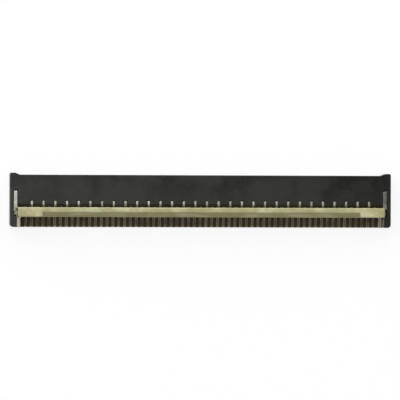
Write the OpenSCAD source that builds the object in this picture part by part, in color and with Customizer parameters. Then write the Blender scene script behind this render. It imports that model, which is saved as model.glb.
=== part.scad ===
// Back-flip connector for a flat flexible cable, drawn with its flip lever standing open.
// The cable slides in from the front over the lower spring beams. Turning the lever down to the
// rear rolls its cam shaft up on edge, which spreads the contacts' hooks and clamps the cable.
// X runs along the row of contacts, Y towards the cable entry, Z up from the circuit board.
// Profiles are drawn in a plane of depth (from the housing's rear edge) and height (from the board).

/* [Contacts] */
// Number of contacts: odd ones are pushed in from the front, even ones from the rear
contact_count = 61; // [21:2:81]
// Distance from one contact to the next
pitch = 0.3; // [0.28:0.01:0.4]
// Thickness of the strip that the contacts are stamped from
contact_t = 0.12; // [0.09:0.005:0.13]
// Height of the lower beam
lower_beam_h = 0.15; // [0.12:0.01:0.16]
// Height of the upper spring beam
upper_beam_h = 0.12; // [0.09:0.01:0.13]
// How far the contact points stand into the cable slot, below and above
contact_rise = 0.07; // [0.04:0.01:0.09]
// Radius of the rounded contact points
point_r = 0.09; // [0.07:0.005:0.1]
// Depth at which the upper contact points touch the cable
point_depth = 2.12; // [2:0.02:2.2]
// How far the lower contact points lie behind the upper ones
point_stagger = 0.2; // [0.1:0.01:0.3]
// Depth of the rear face of the web that joins the beams
web_rear = 1.16; // [1.12:0.01:1.2]
// Length of the web
web_len = 0.18; // [0.14:0.01:0.22]
// Thickness of the hook over the cam shaft
hook_h = 0.075; // [0.06:0.005:0.08]
// How far the hook reaches back past the turning axis
hook_reach = 0.19; // [0.17:0.005:0.2]
// Height of the hump that keeps the cam shaft from rolling out to the rear
hump_h = 0.03; // [0.01:0.005:0.04]
// Height at which the sloping rear arms end
arm_end_h = 0.2; // [0.18:0.01:0.28]
// Length of the crest that stands in a notch of the cover, on even contacts
crest_len = 0.2; // [0.1:0.01:0.22]
// Length of a solder foot
foot_len = 0.3; // [0.2:0.02:0.36]

/* [Housing] */
// Depth from the rear edge to the front edge of the cover
cover_front = 2.68; // [2.5:0.01:3.2]
// Depth from the rear edge to the rear edge of the cover
cover_rear = 1.05; // [1.04:0.005:1.07]
// Length of the slope along the cover's rear edge
slope_len = 0.14; // [0.08:0.01:0.2]
// Drop of the slope along the cover's rear edge
slope_drop = 0.05; // [0.02:0.005:0.06]
// Length of the notches over the even contacts in the cover's rear edge
notch_len = 0.325; // [0.32:0.005:0.35]
// Length of the comb walls that part the contacts and stop the cable
comb_len = 0.32; // [0.3:0.01:0.4]
// Thickness of the floor under the contacts
floor_t = 0.12; // [0.08:0.01:0.2]
// Height of the contact slits below the cable slot
lower_slit_h = 0.18; // [0.17:0.01:0.24]
// Height of the cable slot
slot_h = 0.33; // [0.28:0.01:0.4]
// Height of the contact slits above the cable slot
upper_slit_h = 0.17; // [0.14:0.01:0.24]
// Thickness of the cover over the slits
skin_t = 0.1; // [0.06:0.01:0.2]
// Gap on each side of the cable in its slot
cable_gap = 0.025; // [0.01:0.005:0.05]
// Thickness of the side walls beside the cable slot
side_wall = 0.5; // [0.48:0.01:0.7]
// How far the guide ears stand out past the cover
ear_len = 0.1; // [0.05:0.01:0.3]
// Width of the slanted lead-in on each ear
ear_slant = 0.22; // [0.1:0.01:0.3]
// Width of the bevel on the noses of the ears
ear_nose = 0.06; // [0.02:0.01:0.08]
// Radius of the rear corners
corner_r = 0.17; // [0.05:0.01:0.2]
// Width of the bevel along the cover's outer edges
edge_bevel = 0.03; // [0.01:0.005:0.04]
// Height and depth of the lead-in on the lips of the cable slot
lead_in = 0.09; // [0.04:0.01:0.1]

/* [Flip lever] */
// Depth of the lever's turning axis
hinge_depth = 0.715; // [0.7:0.005:0.73]
// Height of the cam shaft while the lever stands open
cam_open_h = 0.2; // [0.16:0.01:0.2]
// Height of the cam shaft once the lever is down
cam_closed_h = 0.26; // [0.25:0.005:0.27]
// Length from the axis to the tip of the lever
lever_len = 0.86; // [0.8:0.01:1.2]
// Distance from the axis to the root of the lever
lever_root = 0.36; // [0.35:0.005:0.4]
// Thickness of the lever behind the axis
lever_back = 0.195; // [0.16:0.005:0.2]
// How far the closed lever lies below the top of the housing
lever_sink = 0.04; // [0.03:0.005:0.06]
// Thickness of the lever's tip in front of the finger bevel
lip_t = 0.24; // [0.16:0.01:0.26]
// Height of the square heel below the finger bevel
heel_h = 0.12; // [0.06:0.01:0.2]
// Length of the full blocks at both ends of the lever
end_block_len = 1.25; // [0.6:0.05:2]
// Slant at the ends of the finger bevel
bevel_slant = 0.06; // [0.02:0.01:0.3]
// Width of the small bevel on the edges of the lever's tip
tip_bevel = 0.03; // [0.01:0.005:0.04]
// Diameter of the pivot stubs
stub_d = 0.24; // [0.21:0.01:0.24]
// Length of the pivot stubs
stub_len = 0.175; // [0.1:0.005:0.185]

/* [Hold-down nails] */
// Thickness of the nails
nail_t = 0.2; // [0.12:0.01:0.22]
// Thickness of the housing wall outside a nail
outer_skin = 0.195; // [0.18:0.005:0.3]
// Depth of the front end of a nail
nail_front = 1.91; // [1.7:0.01:2.2]
// Depth at which the nail's upper arm starts, in front of the pivot stub
nail_arm_start = 0.96; // [0.94:0.01:1.1]
// Height of the nail's upper arm
nail_arm_h = 0.22; // [0.12:0.01:0.24]
// Length of the nail's root, which joins its arms at the front
nail_root_len = 0.35; // [0.2:0.01:0.5]
// Length of the nail's solder foot
nail_foot_len = 0.5; // [0.3:0.02:0.54]
// Height of the nail's solder foot
nail_foot_h = 0.2; // [0.14:0.01:0.24]
// How far the foot is cranked in towards the contacts
nail_crank = 0.175; // [0.1:0.005:0.18]
// Height of the nail's underside over the board, but for its foot
nail_floor = 0.1; // [0.08:0.01:0.12]

/* [Clearances] */
// Gap on each side of a contact in its slit
slit_gap = 0.01; // [0.005:0.005:0.03]
// Gap on each side of a contact in a window of the lever
window_gap = 0.025; // [0.015:0.005:0.035]
// Gap around the closed cam shaft, above and below
cam_gap = 0.015; // [0.01:0.005:0.02]
// Gap over the contacts in their slits, and in front of their beams
end_gap = 0.02; // [0.01:0.005:0.03]
// Gap between the ends of the lever and the end walls
lever_gap = 0.045; // [0.02:0.005:0.05]
// Gap between the closed lever and the contacts' rear arms
rest_gap = 0.035; // [0.02:0.005:0.06]
// Gap around a nail in its slot
nail_gap = 0.01; // [0.005:0.005:0.02]
// How far the ribs between the contacts lie below the contacts' rear arms
rib_gap = 0.02; // [0.01:0.005:0.04]
// How far the crests lie below the top of the housing
top_gap = 0.02; // [0.01:0.005:0.03]
// How far the nail's upper arm lies below the top of the housing
nail_sink = 0.08; // [0.04:0.01:0.1]

/* [Hidden] */
$fn = 48;
past = 1; // cutters run this far out of the solid that they cut
lap = 0.01; // pieces of one solid run this far into each other
stamp_bevel = 0.04; // width of the bevels on the corners of the stampings

// Across the row
cable_w = (contact_count + 1) * pitch;
slot_w = cable_w + 2 * cable_gap;
half_w = slot_w / 2 + side_wall;
half_row = (contact_count - 1) * pitch / 2;
slit_w = contact_t + 2 * slit_gap;
window_w = contact_t + 2 * window_gap;
nail_out = half_w - outer_skin;
nail_in = nail_out - nail_t;
lever_half = nail_in - nail_gap / 2;
well_half = lever_half + lever_gap;

// Along the depth
housing_depth = cover_front + ear_len;
slot_end = cover_rear + comb_len;
notch_front = cover_rear + notch_len;
crest_front = notch_front - slit_gap;
web_front = web_rear + web_len;
upper_tip = point_depth + point_r + stamp_bevel;
lower_tip = upper_tip + 3 * stamp_bevel;
hook_tip = hinge_depth - hook_reach;
nail_crank_start = 0.06; // the crank starts this far from foot and arm

// Up from the board
slot_floor = floor_t + lower_slit_h;
slot_top = slot_floor + slot_h;
slit_top = slot_top + upper_slit_h;
housing_h = slit_top + skin_t;
beam_top = slit_top - end_gap;
crest_top = housing_h - top_gap;
seat_r = cam_closed_h / 2 + cam_gap;
throat_r = seat_r - hump_h;
axis_z = beam_top - hook_h - seat_r;
rear_arm_top = axis_z - lever_back - rest_gap;
rib_top = rear_arm_top - rib_gap;
lever_front = housing_h - lever_sink - axis_z;
nail_top = housing_h - nail_sink;

// Every node is listed here; contacts of one kind share a node two by two
function pad(n) = n < 10 ? str("0", n) : str(n);
function groups(first) = [
    for (i = [first : 4 : contact_count]) [for (j = [i, i + 2]) if (j <= contact_count) j]
];
function group_name(kind, g) = len(g) == 2
    ? str(kind, "_contacts_", pad(g[0]), "_", pad(g[1]))
    : str(kind, "_contact_", pad(g[0]));
front_groups = groups(1);
rear_groups = groups(2);

function contact_x(n) = (n - 1) * pitch - half_row;

// Extrudes a depth-height profile along X, centred on x
module across(x, w) {
    translate([x - w / 2, 0, 0])
        rotate([90, 0, 90])
            linear_extrude(w) children();
}

// A rectangle of the profile plane between two corners
module panel(low, high) {
    translate(low) square(high - low);
}

// A block between two corners
module block(low, high) {
    translate(low) cube(high - low);
}

// Puts the rear edge where the footprint's centre becomes the origin
module on_board() {
    translate([0, -housing_depth / 2, 0]) children();
}

// ---- Housing -------------------------------------------------------------------------------

// Footprint: rounded rear corners, and a guide ear in front of each side wall
module footprint() {
    half_plan = [
        [half_w, 0],
        [half_w, housing_depth - ear_nose],
        [half_w - ear_nose, housing_depth],
        [slot_w / 2 + ear_slant, housing_depth],
        [slot_w / 2, cover_front]
    ];
    other_half = [for (i = [len(half_plan) - 1 : -1 : 0]) [-half_plan[i].x, half_plan[i].y]];
    difference() {
        polygon(concat(half_plan, other_half));
        for (side = [0, 1]) mirror([side, 0]) translate([half_w - corner_r, 0]) difference() {
            translate([0, -past]) square([corner_r + past, corner_r + past]);
            translate([0, corner_r]) circle(corner_r);
            translate([-past, -2 * past]) square([past, 4 * past]);
        }
    }
}

// Cable slot, with slanted lips at its mouth
module cable_slot() {
    polygon([
        [slot_end, slot_floor],
        [cover_front - lead_in, slot_floor],
        [cover_front, slot_floor - lead_in],
        [cover_front + past, slot_floor - lead_in],
        [cover_front + past, slot_top + lead_in],
        [cover_front, slot_top + lead_in],
        [cover_front - 1.5 * lead_in, slot_top],
        [slot_end, slot_top]
    ]);
}

// Well behind the cover, in which the lever turns; its floor slopes down to the rear
module lever_well() {
    polygon([
        [-past, arm_end_h - rib_gap],
        [0, arm_end_h - rib_gap],
        [hook_tip, rib_top],
        [cover_rear, rib_top],
        [cover_rear, housing_h + past],
        [-past, housing_h + past]
    ]);
}

// Slope along the cover's rear edge, which lets the lever be seen and reached
module rear_slope() {
    rise = slope_drop / slope_len;
    polygon([
        [cover_rear - past, housing_h - slope_drop - past * rise],
        [cover_rear + slope_len + past, housing_h + past * rise],
        [cover_rear - past, housing_h + past * rise]
    ]);
}

// Bevels the top edges of the cover's front, the ears and the sides
module edge_bevels() {
    side = edge_bevel * sqrt(2);
    for (depth = [cover_front, housing_depth])
        translate([0, depth, housing_h])
            rotate([45, 0, 0])
                cube([depth == cover_front ? slot_w : 2 * half_w + past, side, side], center = true);
    for (x = [-half_w, half_w])
        translate([x, housing_depth / 2, housing_h])
            rotate([0, 45, 0])
                cube([side, housing_depth + past, side], center = true);
}

// Slit of a front-loaded contact: open to the front, with room for the foot below
module front_slit() {
    panel([-past, floor_t], [cover_front + past, slot_floor + lap]);
    panel([-past, floor_t], [upper_tip + 2 * end_gap, slit_top]);
    panel([cover_front - foot_len - end_gap, -past], [cover_front + past, slot_floor]);
}

// Slit of a rear-loaded contact: open to the rear, notched through the cover
module rear_slit() {
    panel([-past, floor_t], [lower_tip + 2 * end_gap, slot_floor + lap]);
    panel([-past, floor_t], [upper_tip + 2 * end_gap, slit_top]);
    panel([-past, slot_floor], [notch_front, housing_h + past]);
    panel([-past, -past], [foot_len + end_gap, slot_floor]);
}

// Room for a nail: arms, crank and foot, open at the top
module nail_slot() {
    room_in = nail_in - nail_gap;
    room_out = nail_out + nail_gap;
    block([room_in, hinge_depth - seat_r, nail_floor], [room_out, nail_front, housing_h + past]);
    block(
        [room_in - nail_crank, nail_foot_len - nail_crank_start, nail_floor],
        [room_out, hinge_depth, slot_top]
    );
    block(
        [room_in - nail_crank, -past, -past],
        [room_out - nail_crank, nail_foot_len + end_gap, slot_top]
    );
}

module housing() {
    color([0.2, 0.2, 0.19]) difference() {
        linear_extrude(housing_h) footprint();
        across(0, slot_w) cable_slot();
        across(0, 2 * well_half) lever_well();
        across(0, 2 * well_half) rear_slope();
        edge_bevels();
        for (n = [1 : 2 : contact_count]) across(contact_x(n), slit_w) front_slit();
        for (n = [2 : 2 : contact_count]) across(contact_x(n), slit_w) rear_slit();
        for (side = [0, 1]) mirror([side, 0, 0]) nail_slot();
    }
}

// ---- Contacts ------------------------------------------------------------------------------

// Throat between the beams in front of the web, and behind it the throat of the hook,
// which ends in the round seat of the cam shaft
module throats() {
    front_low = floor_t + lower_beam_h;
    front_high = beam_top - upper_beam_h;
    front_r = (front_high - front_low) / 2;
    translate([web_front + front_r, front_low + front_r]) circle(front_r);
    panel([web_front + front_r, front_low], [lower_tip + past, front_high]);
    translate([hinge_depth, axis_z]) circle(seat_r);
    panel([hinge_depth, axis_z - throat_r], [web_rear - throat_r, axis_z + throat_r]);
    translate([web_rear - throat_r, axis_z]) circle(throat_r);
    panel([-past, axis_z - throat_r], [hinge_depth, axis_z + throat_r - hump_h]);
}

// Rounded points that press on the cable from below and above
module contact_points() {
    translate([point_depth - point_stagger, slot_floor + contact_rise - point_r]) circle(point_r);
    translate([point_depth, slot_top - contact_rise + point_r]) circle(point_r);
}

// Outline behind the web, the same for both kinds: rear arm, hump behind the seat, hook
function rear_half() = [
    [0, floor_t],
    [0, arm_end_h - stamp_bevel],
    [stamp_bevel, arm_end_h],
    [hook_tip, rear_arm_top],
    [hook_tip, axis_z - throat_r],
    [hook_tip, beam_top - stamp_bevel],
    [hook_tip + stamp_bevel, beam_top]
];

// Crest on an even contact's back, with a long slope up to it from the hook
function crest() = [
    [crest_front - crest_len - 1.6 * (crest_top - beam_top), beam_top],
    [crest_front - crest_len, crest_top],
    [crest_front - stamp_bevel, crest_top],
    [crest_front, crest_top - stamp_bevel],
    [crest_front, beam_top]
];

// Rear-loaded contact: foot at the rear, and a crest that fills the cover's notch
module rear_contact_profile() {
    difference() {
        polygon(concat(rear_half(), crest(), [
            [upper_tip, beam_top],
            [upper_tip, floor_t + lower_beam_h],
            [lower_tip, floor_t + lower_beam_h],
            [lower_tip, floor_t],
            [foot_len, floor_t],
            [foot_len, 0],
            [0, 0]
        ]));
        throats();
    }
}

// Front-loaded contact: foot at the front, and a flat back that passes under the cover
module front_contact_profile() {
    difference() {
        polygon(concat(rear_half(), [
            [upper_tip, beam_top],
            [upper_tip, floor_t + lower_beam_h],
            [cover_front, floor_t + lower_beam_h],
            [cover_front, 0],
            [cover_front - foot_len, 0],
            [cover_front - foot_len, floor_t]
        ]));
        throats();
    }
}

module front_contacts(numbers) {
    color([0.78, 0.7, 0.5]) for (n = numbers) {
        across(contact_x(n), contact_t) front_contact_profile();
        across(contact_x(n), contact_t) contact_points();
    }
}

module rear_contacts(numbers) {
    color([0.78, 0.76, 0.7]) for (n = numbers) {
        across(contact_x(n), contact_t) rear_contact_profile();
        across(contact_x(n), contact_t) contact_points();
    }
}

// ---- Flip lever ----------------------------------------------------------------------------

// Everything here is drawn around the turning axis: forwards, then up
module cam_section() {
    end_r = cam_open_h / 2;
    shift = (cam_closed_h - cam_open_h) / 2;
    for (side = [-1, 1]) translate([side * shift, 0]) circle(end_r);
    square([2 * shift, cam_open_h], center = true);
}

module lever_section() {
    polygon([
        [-lever_back, lever_root],
        [lever_front, lever_root],
        [lever_front, lever_len - tip_bevel],
        [lever_front - tip_bevel, lever_len],
        [-lever_back + tip_bevel, lever_len],
        [-lever_back, lever_len - tip_bevel]
    ]);
}

// What the finger bevel takes off the rear of the tip
module bevel_section() {
    polygon([
        [lever_front - lip_t, lever_len + lap],
        [lever_front - lip_t, lever_len],
        [-lever_back, lever_root + heel_h],
        [-lever_back - past, lever_root + heel_h],
        [-lever_back - past, lever_len + lap]
    ]);
}

// Keeps the bevel between the end blocks, with slanted ends
module bevel_span() {
    top = lever_half - end_block_len;
    bottom = top - bevel_slant;
    rotate([90, 0, 0]) linear_extrude(4 * past, center = true) polygon([
        [-top, lever_len + past],
        [-top, lever_len],
        [-bottom, lever_root],
        [bottom, lever_root],
        [top, lever_len],
        [top, lever_len + past]
    ]);
}

// Bars between the windows, which join the lever to the cam shaft
module window_bars() {
    bar_w = pitch - window_w;
    bar_t = cam_open_h - 2 * lap;
    for (n = [1 : contact_count - 1])
        block(
            [contact_x(n) + window_w / 2, -bar_t / 2, 0],
            [contact_x(n) + window_w / 2 + bar_w, bar_t / 2, lever_root + lap]
        );
    for (side = [0, 1]) mirror([side, 0, 0]) block(
        [half_row + window_w / 2, -bar_t / 2, 0],
        [lever_half, bar_t / 2, lever_root + lap]
    );
}

module actuator() {
    color([0.73, 0.72, 0.58]) translate([0, hinge_depth, axis_z]) {
        difference() {
            across(0, 2 * lever_half) lever_section();
            intersection() {
                across(0, 2 * lever_half) bevel_section();
                bevel_span();
            }
        }
        across(0, 2 * lever_half) cam_section();
        window_bars();
        for (side = [0, 1]) mirror([side, 0, 0])
            translate([lever_half - lap, 0, 0])
                rotate([0, 90, 0])
                    cylinder(d = stub_d, h = stub_len + lap);
    }
}

// ---- Hold-down nails -----------------------------------------------------------------------

// Fork that lies in the side wall: its lower arm carries the pivot stub
module nail_fork() {
    rear = hinge_depth - seat_r + 2 * nail_gap;
    front = nail_front - nail_gap;
    polygon([
        [rear, nail_floor],
        [front, nail_floor],
        [front, nail_top - stamp_bevel],
        [front - stamp_bevel, nail_top],
        [nail_arm_start, nail_top],
        [nail_arm_start, nail_top - nail_arm_h],
        [front - nail_root_len, nail_top - nail_arm_h],
        [front - nail_root_len, axis_z - seat_r],
        [rear, axis_z - seat_r]
    ]);
}

// Crank and solder foot seen from above
module nail_foot_plan() {
    crank_front = hinge_depth - seat_r + nail_crank_start;
    polygon([
        [nail_in - nail_crank, 0],
        [nail_out - nail_crank, 0],
        [nail_out - nail_crank, nail_foot_len - stamp_bevel],
        [nail_out, crank_front],
        [nail_out, hinge_depth],
        [nail_in, hinge_depth],
        [nail_in, crank_front],
        [nail_in - nail_crank, nail_foot_len - stamp_bevel]
    ]);
}

// The foot reaches down to the board, and the crank clears it
module nail_foot_side() {
    polygon([
        [-past, 0],
        [nail_foot_len - stamp_bevel, 0],
        [nail_foot_len - stamp_bevel, nail_floor],
        [nail_front, nail_floor],
        [nail_front, past],
        [-past, past]
    ]);
}

module nail_right() {
    color([0.76, 0.76, 0.74]) {
        across(nail_in + nail_t / 2, nail_t) nail_fork();
        intersection() {
            linear_extrude(nail_foot_h) nail_foot_plan();
            across(nail_in, 4 * nail_t) nail_foot_side();
        }
    }
}

module nail_left() {
    mirror([1, 0, 0]) nail_right();
}

// ---- Nodes ---------------------------------------------------------------------------------

on_board() housing();
on_board() actuator();
on_board() nail_left();
on_board() nail_right();
for (g = front_groups)
    on_board() front_contacts(g);
for (g = rear_groups)
    on_board() rear_contacts(g);
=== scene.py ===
"""Back-flip connector for a flat flexible cable, seen from above with its flip lever standing open."""
import math

import bpy
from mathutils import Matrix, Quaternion, Vector


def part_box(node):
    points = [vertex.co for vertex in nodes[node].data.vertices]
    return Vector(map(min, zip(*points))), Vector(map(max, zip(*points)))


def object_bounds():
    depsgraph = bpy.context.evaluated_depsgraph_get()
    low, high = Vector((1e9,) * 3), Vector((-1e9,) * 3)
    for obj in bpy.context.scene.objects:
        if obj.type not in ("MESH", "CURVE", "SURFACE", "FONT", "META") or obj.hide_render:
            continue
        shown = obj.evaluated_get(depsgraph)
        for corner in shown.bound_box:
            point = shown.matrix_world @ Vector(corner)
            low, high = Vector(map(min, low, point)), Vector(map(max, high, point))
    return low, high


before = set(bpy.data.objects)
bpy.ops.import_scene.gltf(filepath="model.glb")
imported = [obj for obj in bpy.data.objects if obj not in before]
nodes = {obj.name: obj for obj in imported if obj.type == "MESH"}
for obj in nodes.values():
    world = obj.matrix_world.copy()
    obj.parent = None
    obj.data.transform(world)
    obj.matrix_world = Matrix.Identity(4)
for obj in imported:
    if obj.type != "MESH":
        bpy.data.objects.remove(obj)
cad_low, cad_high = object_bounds()

# ---- View and light ------------------------------------------------------------------------
# The connector lies under a copy stand: a long lens looks almost straight down, a little from the
# left. One softbox stands at the front left, one at the right, and one hangs overhead. The last
# ends where level metal mirrors it to the lens, so the left nail shines and the right one is dim.
millimetre = 0.001
lens_distance = 200 * millimetre
lens_lean = math.radians(5.6)
lens_roll = math.radians(0.18)
field_width = 20.565 * millimetre
aim = Vector((-0.042, 0.019, 0.6)) * millimetre

scene = bpy.context.scene
scene.view_settings.view_transform = "Standard"
camera = bpy.data.objects.new("camera", bpy.data.cameras.new("camera"))
scene.collection.objects.link(camera)
scene.camera = camera
camera.data.lens = camera.data.sensor_width * lens_distance / field_width
camera.data.clip_start = lens_distance / 10
leaning = Quaternion((0, 1, 0), -lens_lean)
camera.location = aim + leaning @ Vector((0, 0, lens_distance))
camera.rotation_mode = "QUATERNION"
camera.rotation_quaternion = leaning @ Quaternion((0, 0, 1), lens_roll)


def softbox(name, centre, width, depth, radiance):
    """An area lamp of even radiance that faces the connector. Its centre and sizes are in metres."""
    lamp = bpy.data.lights.new(name, "AREA")
    lamp.shape = "RECTANGLE"
    lamp.size = width
    lamp.size_y = depth
    lamp.energy = radiance * math.pi * width * depth
    stand = bpy.data.objects.new(name, lamp)
    scene.collection.objects.link(stand)
    stand.location = Vector(centre)
    stand.rotation_mode = "QUATERNION"
    stand.rotation_quaternion = Vector((0, 0, 1)).rotation_difference(Vector(centre))


softbox("front_softbox", centre=(-0.27, 0.42, 0.34), width=1.0, depth=0.6, radiance=2.3)
softbox("overhead_softbox", centre=(-0.14, 0.05, 0.40), width=0.40, depth=0.25, radiance=1.4)
softbox("side_softbox", centre=(0.45, 0.35, 0.30), width=0.5, depth=0.5, radiance=1.6)


class Wire:
    """An output of a shader node. Arithmetic on wires adds the Math nodes that work it out."""

    def __init__(self, socket):
        self.socket = socket

    @classmethod
    def node(cls, tree, kind, settings, sockets, out=0):
        """Adds a node: its type, its settings, then the values or wires of its sockets."""
        made = tree.nodes.new("ShaderNode" + kind)
        for name, value in settings.items():
            setattr(made, name, value)
        for name, value in sockets.items():
            if isinstance(value, Wire):
                tree.links.new(value.socket, made.inputs[name])
            else:
                made.inputs[name].default_value = value
        return cls(made.outputs[out]) if made.outputs else None

    def math(self, operation, first, second):
        return Wire.node(self.socket.id_data, "Math", {"operation": operation}, {0: first, 1: second})

    def __add__(self, other):
        return self.math("ADD", self, other)

    __radd__ = __add__

    def __sub__(self, other):
        return self.math("SUBTRACT", self, other)

    def __rsub__(self, other):
        return self.math("SUBTRACT", other, self)

    def __mul__(self, other):
        return self.math("MULTIPLY", self, other)

    __rmul__ = __mul__

    def __abs__(self):
        return self.math("ABSOLUTE", self, 0.0)

    def at_least(self, least):
        return self.math("MAXIMUM", self, least)


def looked_at(tree):
    """1 on rays that see a surface straight, in a mirror or through glass, 0 on those that light it."""
    straight, mirrored, through = [
        Wire.node(tree, "LightPath", {}, {}, f"Is {kind} Ray")
        for kind in ("Camera", "Glossy", "Transmission")
    ]
    return straight.at_least(mirrored).at_least(through)


# The room lights the connector dimly. Looked at straight or in a mirror, its walls are white and
# its ceiling is dark, so that metal shows both.
white = (1, 1, 1, 1)
room_strength = 0.26
wall_glow, ceiling_glow = 1.0, 0.12
wall_top, ceiling_edge = 0.25, 0.6

world = bpy.data.worlds.new("studio")
scene.world = world
world.use_nodes = True
sky = world.node_tree
sky.nodes.clear()
direction = Wire.node(sky, "TexCoord", {}, {}, "Generated")
up = Wire.node(sky, "SeparateXYZ", {}, {0: direction}, "Z")
seen_glow = Wire.node(
    sky, "MapRange", {"interpolation_type": "SMOOTHSTEP"},
    {
        "Value": up, "From Min": wall_top, "From Max": ceiling_edge,
        "To Min": wall_glow, "To Max": ceiling_glow,
    },
)
lighting_room = Wire.node(sky, "Background", {}, {"Color": white, "Strength": room_strength})
seen_room = Wire.node(sky, "Background", {}, {"Color": white, "Strength": seen_glow})
room = Wire.node(sky, "MixShader", {}, {0: looked_at(sky), 1: lighting_room, 2: seen_room})
Wire.node(sky, "OutputWorld", {}, {"Surface": room})

# ---- Table ---------------------------------------------------------------------------------
# A sheet of white paper, much larger than the view. The lens sees most of its white as light of
# its own, so that the sheet stays white while the connector's shadow still lies on it.
paper_size = 2.0
paper_gap = 0.01 * millimetre
paper_grey = (0.6, 0.6, 0.6, 1)
own_light = 0.85


def empty_material(name):
    """A material with no nodes yet."""
    material = bpy.data.materials.new(name)
    material.use_nodes = True
    material.node_tree.nodes.clear()
    return material


paper_corners = [
    (x * paper_size / 2, y * paper_size / 2, -paper_gap)
    for x, y in ((-1, -1), (1, -1), (1, 1), (-1, 1))
]
paper_mesh = bpy.data.meshes.new("paper")
paper_mesh.from_pydata(paper_corners, [], [(0, 1, 2, 3)])
paper = bpy.data.objects.new("paper", paper_mesh)
scene.collection.objects.link(paper)

white_paper = empty_material("white_paper")
tree = white_paper.node_tree
lighting_paper = Wire.node(tree, "BsdfDiffuse", {}, {"Color": paper_grey})
matt = Wire.node(tree, "BsdfDiffuse", {}, {"Color": white})
glow = Wire.node(tree, "Emission", {}, {"Color": white, "Strength": 1.0})
seen_paper = Wire.node(tree, "MixShader", {}, {0: own_light, 1: matt, 2: glow})
paper_look = Wire.node(tree, "MixShader", {}, {0: looked_at(tree), 1: lighting_paper, 2: seen_paper})
Wire.node(tree, "OutputMaterial", {}, {"Surface": paper_look})
paper_mesh.materials.append(white_paper)

# ---- Housing -------------------------------------------------------------------------------
# The base is moulded in one piece from black liquid crystal polymer, glass filled. Its skin is
# satin, with faint grey flow clouds. From the front edge towards the lever it is painted paler,
# painted light that the lever bounces onto it, and its edges are lighter, partly rubbed and partly
# a painted highlight. Over the comb behind the lever a brown tint is painted, a painted warm
# reflection of the lever and the contacts.
lever_low, lever_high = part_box("actuator")
# Painted bounce light: the plate is painted paler from its front edge to just behind the lever's front.
lever_bounce_start = cad_high[1] + 0.01 * millimetre
lever_bounce_full = lever_high[1] - 0.025 * millimetre
# Where the brown painted over the comb behind the lever begins and is full, and how far it keeps from
# the ends.
comb_start = lever_high[1] - 0.125 * millimetre
comb_full = lever_low[1] + 0.07 * millimetre
comb_margin = 0.4 * millimetre
grain_size = 0.05 * millimetre
grain_depth = 0.0015 * millimetre
housing_edge = 0.03 * millimetre
black_skin = (0.001, 0.001, 0.0005, 1)
clouded_skin = (0.016, 0.016, 0.013, 1)
# The tint of the painted bounce light from the lever, and how strongly it shows.
lever_bounce_tint, lever_bounce_strength = (0.017, 0.017, 0.013, 1), 0.55
glass_speck, speck_strength = (0.03, 0.03, 0.027, 1), 0.2
# Lighter housing edges: partly rubbed, partly a painted highlight.
black_edge_wear_and_highlight, black_edge_wear_and_highlight_strength = (0.04, 0.04, 0.036, 1), 0.35
# Painted warm reflection of the lever and the contacts on the black comb behind the lever.
painted_warm_reflection_on_black = (0.062, 0.046, 0.02, 1)
black_roughness, black_cloud_roughness = 0.2, 0.16


def noise(tree, place, size, detail, roughness):
    """Cloudy value around 0.5, with clouds of about the given size."""
    return Wire.node(
        tree, "TexNoise", {},
        {"Vector": place, "Scale": 1 / size, "Detail": detail, "Roughness": roughness}, "Fac",
    )


def steps(tree, value, low, high):
    """0 below low, 1 above high and smooth between them."""
    return Wire.node(
        tree, "MapRange", {"interpolation_type": "SMOOTHSTEP"},
        {"Value": value, "From Min": low, "From Max": high},
    )


def mix(tree, share, first, second):
    """One colour turning into another as the share grows."""
    return Wire.node(tree, "Mix", {"data_type": "RGBA"}, {0: share, 6: first, 7: second}, 2)


def towards_rear(tree, place, start, full):
    """0 in front of the start, growing to 1 where it is reached in full, both measured along Y."""
    behind = Wire.node(tree, "SeparateXYZ", {}, {0: place}, "Y") * -1
    return steps(tree, behind, low=-start, high=-full)


def between_ends(tree, place, margin):
    """1 between the connector's two ends, 0 within a margin from them."""
    across = Wire.node(tree, "SeparateXYZ", {}, {0: place}, "X")
    border = cad_high[0] - margin
    fade = 0.05 * millimetre
    return 1 - steps(tree, abs(across), low=border - fade, high=border)


def rounded_edges_wear_and_highlight(tree, radius):
    """Normal of a surface with rounded edges, and a mask of how close an edge is, which the materials
    use for edge wear and a painted edge highlight.
    """
    least_turn, full_turn = 0.004, 0.12
    rounded = Wire.node(tree, "Bevel", {"samples": 6}, {"Radius": radius})
    flat = Wire.node(tree, "NewGeometry", {}, {}, "Normal")
    aligned = Wire.node(tree, "VectorMath", {"operation": "DOT_PRODUCT"}, {0: rounded, 1: flat}, "Value")
    return rounded, steps(tree, 1 - aligned, low=least_turn, high=full_turn)


def finish_surface(material, colour, roughness, relief, relief_depth, normal, **others):
    """Principled surface whose relief stands on the given normal, wired to the output."""
    tree = material.node_tree
    bumped = Wire.node(
        tree, "Bump", {}, {"Height": relief, "Distance": relief_depth, "Normal": normal},
    )
    sockets = {"Base Color": colour, "Roughness": roughness, "Normal": bumped}
    surface = Wire.node(tree, "BsdfPrincipled", {}, {**sockets, **others})
    Wire.node(tree, "OutputMaterial", {}, {"Surface": surface})


def dress(node, material):
    """Gives a CAD node its material."""
    for slot in nodes[node].material_slots:
        slot.material = material


black_polymer = empty_material("black_polymer")
tree = black_polymer.node_tree
place = Wire.node(tree, "TexCoord", {}, {}, "Object")
clouds = noise(tree, place, size=1.7 * millimetre, detail=3, roughness=0.55)
grain = noise(tree, place, grain_size, detail=3, roughness=0.6)
round_normal, edge_wear_and_highlight = rounded_edges_wear_and_highlight(tree, housing_edge)
painted_lever_bounce = towards_rear(tree, place, lever_bounce_start, lever_bounce_full)
painted_light_share = towards_rear(tree, place, comb_start, comb_full) * between_ends(tree, place, comb_margin)
skin = mix(tree, steps(tree, clouds, low=0.4, high=0.6), black_skin, clouded_skin)
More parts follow.
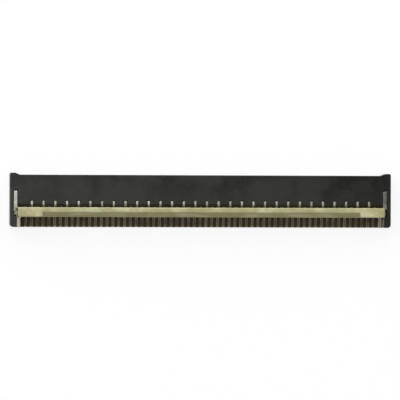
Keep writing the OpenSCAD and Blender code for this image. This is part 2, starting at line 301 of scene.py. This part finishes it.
# Painted light that the lever bounces onto the plate.
skin = mix(tree, painted_lever_bounce * lever_bounce_strength, skin, lever_bounce_tint)
skin = mix(tree, steps(tree, grain, low=0.6, high=0.8) * speck_strength, skin, glass_speck)
# Edges painted lighter: wear and a painted highlight.
skin = mix(tree, edge_wear_and_highlight * black_edge_wear_and_highlight_strength, skin, black_edge_wear_and_highlight)
# Painted warm reflection over the comb behind the lever.
skin = mix(tree, painted_light_share, skin, painted_warm_reflection_on_black)
finish_surface(
    black_polymer, skin, black_roughness + black_cloud_roughness * clouds, grain, grain_depth,
    round_normal, **{"Specular IOR Level": 0.4},
)
dress("housing", black_polymer)

# ---- Rear contacts -------------------------------------------------------------------------
# Even contacts, stamped from copper alloy strip and plated, pushed in from the rear. What shows
# from above is the cut edge of the strip: bright on the crests, matt and tan on the hooks, where the
# tan is a painted reflection of the lever's lit front, and painted brown in patches on the arms of
# the comb, a painted shade of the standing lever.
hook_start = lever_high[1] + 0.175 * millimetre
hook_full = lever_high[1] + 0.125 * millimetre
# Painted shade of the standing lever on the comb arms: brown, in dark and pale patches.
painted_shade_brown = (0.20, 0.135, 0.065, 1)
painted_shade_pale_brown = (0.37, 0.285, 0.165, 1)
# Painted reflection of the lever's lit front on the hooks: a tan colour, with the metal made less
# metallic.
painted_lever_reflection_on_hook, hook_dulling = (0.34, 0.32, 0.22, 1), 0.7
# Lighter metal edges: partly rubbed plating, partly a painted highlight.
plating_edge_wear_and_highlight, plating_edge_wear_and_highlight_strength = (0.9, 0.88, 0.8, 1), 0.3
tarnish_roughness = 0.15
scratch_size = 0.03 * millimetre
scratch_stretch = (1.0, 0.35, 1.0)
scratch_depth = 0.0012 * millimetre


def stamped_metal(name, bright, dull, burnish, painted_light_share, edge, relief_depth):
    """Scratched plated strip, with hooks painted a matt tan reflection of the lever and comb arms
    painted a patchy brown shade.

    A low burnish is smoother, and the share of painted light says how far the painted shade and
    reflection hide the plating.
    """
    material = empty_material(name)
    tree = material.node_tree
    place = Wire.node(tree, "TexCoord", {}, {}, "Object")
    stretched = Wire.node(tree, "VectorMath", {"operation": "MULTIPLY"}, {0: place, 1: scratch_stretch})
    tarnish = noise(tree, place, size=0.35 * millimetre, detail=3, roughness=0.6)
    patches = noise(tree, place, size=1.1 * millimetre, detail=2, roughness=0.6)
    scratches = noise(tree, stretched, scratch_size, detail=2, roughness=0.5)
    round_normal, edge_wear_and_highlight = rounded_edges_wear_and_highlight(tree, edge)
    comb = towards_rear(tree, place, comb_start, comb_full)
    hook = towards_rear(tree, place, hook_start, hook_full) - comb
    # Painted shade over the comb arms, in brown patches.
    painted_comb_shade = mix(tree, steps(tree, patches, low=0.35, high=0.65), painted_shade_brown, painted_shade_pale_brown)
    colour = mix(tree, steps(tree, tarnish, low=0.35, high=0.7), bright, dull)
    colour = mix(tree, comb * painted_light_share, colour, painted_comb_shade)
    # Painted reflection of the lever's lit front on the hooks.
    colour = mix(tree, hook * painted_light_share, colour, painted_lever_reflection_on_hook)
    # Edges painted lighter: wear and a painted highlight.
    colour = mix(tree, edge_wear_and_highlight * plating_edge_wear_and_highlight_strength, colour, plating_edge_wear_and_highlight)
    finish_surface(
        material, colour, burnish + tarnish_roughness * tarnish, scratches, relief_depth,
        round_normal, Metallic=1 - hook * painted_light_share * hook_dulling,
    )
    return material


rear_strip = stamped_metal(
    "plated_rear_contact", bright=(0.58, 0.57, 0.51, 1), dull=(0.38, 0.36, 0.30, 1),
    burnish=0.26, painted_light_share=0.9, edge=0.045 * millimetre, relief_depth=scratch_depth,
)
for name in nodes:
    if name.startswith("rear_contacts"):
        dress(name, rear_strip)

# ---- Front contacts ------------------------------------------------------------------------
# Odd contacts, of a slightly yellower batch of the same strip, pushed in from the front. Their
# solder feet are at the front edge, and their rear arms make every second tooth of the comb.
# The front contacts take the same painted shade and painted hook reflection as the rear ones.
front_strip = stamped_metal(
    "plated_front_contact", bright=(0.62, 0.58, 0.47, 1), dull=(0.42, 0.37, 0.27, 1),
    burnish=0.26, painted_light_share=0.9, edge=0.03 * millimetre, relief_depth=scratch_depth,
)
for name in nodes:
    if name.startswith("front_contact"):
        dress(name, front_strip)

# ---- Hold-down nails -----------------------------------------------------------------------
# Flat forks of tinned brass pressed into slots in the side walls, soldered down by their feet.
# Tin fills the finest scratches, and it rounds the cut edges a little more than plating does.
# Behind the lever the nails take the painted shade and the painted hook reflection too, but weaker.
tinned = stamped_metal(
    "tinned_nail", bright=(0.40, 0.395, 0.37, 1), dull=(0.31, 0.305, 0.28, 1),
    burnish=0.12, painted_light_share=0.5, edge=0.05 * millimetre, relief_depth=0.0005 * millimetre,
)
dress("nail_left", tinned)
dress("nail_right", tinned)

# ---- Flip lever ----------------------------------------------------------------------------
# Moulded in one piece from ivory coloured polymer. Flow has left streaks along it, some of them
# greenish, with tan mottling. Below its lit tip the middle of the lever is painted warmer and
# darker, a painted shade, and it is worn pale in patches. Its edges are lighter, partly rubbed and
# partly a painted highlight.
tip_start = lever_high[2] - 0.17 * millimetre
tip_full = lever_high[2] - 0.01 * millimetre
root_margin = 0.38 * millimetre
lever_edge = 0.09 * millimetre
flow_stretch = (0.5, 1.0, 1.0)
dark_ivory = (0.36, 0.335, 0.155, 1)
pale_ivory = (0.54, 0.52, 0.31, 1)
green_streak, green_strength = (0.39, 0.46, 0.25, 1), 0.4
tan_mottle, tan_strength = (0.37, 0.315, 0.17, 1), 0.6
# Painted shade: the middle of the lever below its tip is painted warmer and darker.
painted_warm_shade, painted_warm_shade_strength = (0.36, 0.31, 0.09, 1), 0.65
worn_ivory, worn_strength = (0.66, 0.59, 0.36, 1), 0.65
# Lighter lever edges: partly rubbed, partly a painted highlight.
ivory_edge_wear_and_highlight, ivory_edge_wear_and_highlight_strength = (0.68, 0.67, 0.48, 1), 0.4
ivory_roughness, ivory_cloud_roughness = 0.4, 0.15

ivory_polymer = empty_material("ivory_polymer")
tree = ivory_polymer.node_tree
place = Wire.node(tree, "TexCoord", {}, {}, "Object")
along = Wire.node(tree, "VectorMath", {"operation": "MULTIPLY"}, {0: place, 1: flow_stretch})
clouds = noise(tree, along, size=0.9 * millimetre, detail=3, roughness=0.55)
tint = noise(tree, place, size=2.2 * millimetre, detail=1, roughness=0.5)
mottle = noise(tree, place, size=0.4 * millimetre, detail=2, roughness=0.5)
grain = noise(tree, place, grain_size, detail=3, roughness=0.6)
wear = noise(tree, along, size=0.7 * millimetre, detail=2, roughness=0.4)
round_normal, edge_wear_and_highlight = rounded_edges_wear_and_highlight(tree, lever_edge)
height = Wire.node(tree, "SeparateXYZ", {}, {0: place}, "Z")
tip = steps(tree, height, tip_start, tip_full)
root = (between_ends(tree, place, root_margin) - tip).at_least(0.0)
worn = steps(tree, wear, low=0.4, high=0.68) * root
skin = mix(tree, steps(tree, clouds, low=0.38, high=0.62), dark_ivory, pale_ivory)
skin = mix(tree, steps(tree, tint, low=0.4, high=0.65) * green_strength, skin, green_streak)
skin = mix(tree, steps(tree, mottle, low=0.45, high=0.65) * tan_strength, skin, tan_mottle)
# Painted shade on the middle of the lever below its tip.
skin = mix(tree, root * painted_warm_shade_strength, skin, painted_warm_shade)
skin = mix(tree, worn * worn_strength, skin, worn_ivory)
# Edges painted lighter: wear and a painted highlight.
skin = mix(tree, edge_wear_and_highlight * ivory_edge_wear_and_highlight_strength, skin, ivory_edge_wear_and_highlight)
finish_surface(
    ivory_polymer, skin, ivory_roughness + ivory_cloud_roughness * clouds, grain, grain_depth,
    round_normal, **{"Specular IOR Level": 0.35},
)
dress("actuator", ivory_polymer)
